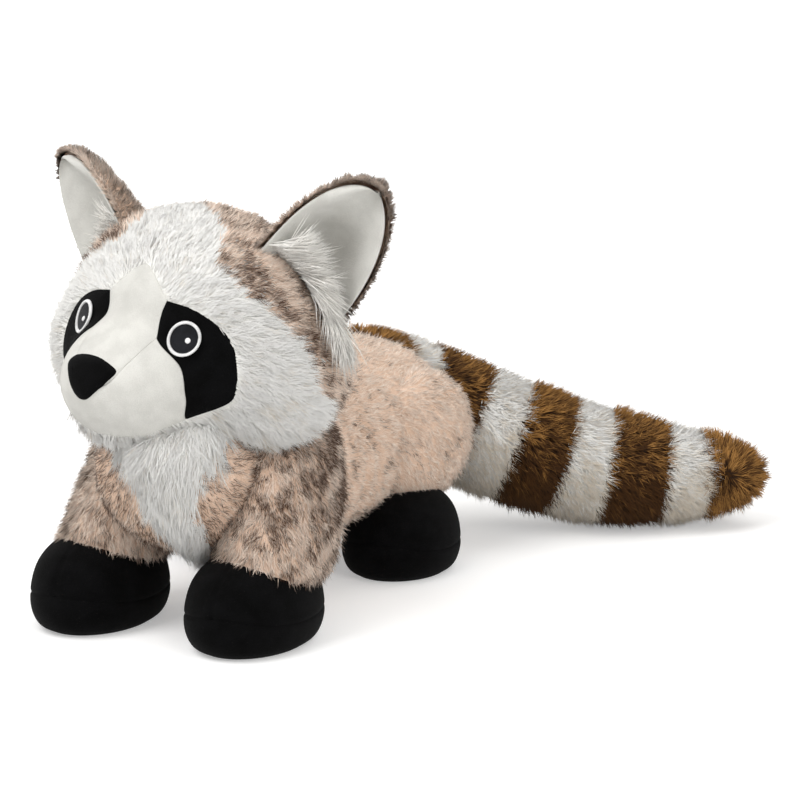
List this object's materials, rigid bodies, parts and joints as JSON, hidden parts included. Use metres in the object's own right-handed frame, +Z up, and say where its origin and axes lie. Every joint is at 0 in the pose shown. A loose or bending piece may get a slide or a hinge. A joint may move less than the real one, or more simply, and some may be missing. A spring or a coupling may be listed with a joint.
{
  "type": "plush raccoon toy",
  "caption": "Stuffed toy raccoon standing on four flat-soled paws, with cupped ears, a masked face, a chest bib and a banded tail lying behind it.",
  "frame": {"origin": "on the surface the paws stand on, under the middle of the toy's outline seen from above", "axes": "+Z up, the toy looks along -Y, its left side is +X, the tail runs back along +Y and to its left"},
  "size_m": [0.2704, 0.369, 0.2146],
  "materials": {
    "tan_fur": "short frosted pile, pinkish beige with dark brown tips",
    "white_fur": "long soft white pile",
    "brown_fur": "tufted brown pile with golden tips",
    "white_velour": "short white velour",
    "black_velour": "short black velour",
    "white_thread": "white embroidery thread",
    "black_thread": "black embroidery thread",
    "stuffing": "polyester fibre fill"
  },
  "bodies": {
    "root": {"head_stuffing": "stuffing", "crown_fur": "tan_fur", "face_fur": "white_fur", "muzzle_bridge": "white_velour", "muzzle_jaw": "white_velour", "eye_patch_left": "black_velour", "eye_patch_right": "black_velour", "eye_ring_left": "white_thread", "eye_ring_right": "white_thread", "eye_disc_left": "black_thread", "eye_disc_right": "black_thread", "eye_glint_left": "white_thread", "eye_glint_right": "white_thread", "nose": "black_velour", "ear_back_left": "tan_fur", "ear_back_right": "tan_fur", "ear_lining_left": "white_velour", "ear_lining_right": "white_velour", "torso": "tan_fur", "chest_bib": "white_fur", "front_leg_left": "tan_fur", "front_leg_right": "tan_fur", "thigh_left": "tan_fur", "thigh_right": "tan_fur", "front_paw_left": "black_velour", "front_paw_right": "black_velour", "rear_paw_left": "black_velour", "rear_paw_right": "black_velour", "front_sole_left": "black_velour", "front_sole_right": "black_velour", "rear_sole_left": "black_velour", "rear_sole_right": "black_velour", "tail_band_1": "brown_fur", "tail_band_2": "white_fur", "tail_band_3": "brown_fur", "tail_band_4": "white_fur", "tail_band_5": "brown_fur", "tail_band_6": "white_fur", "tail_band_7": "brown_fur", "tail_band_8": "white_fur", "tail_band_9": "brown_fur"}
  },
  "joints": []
}
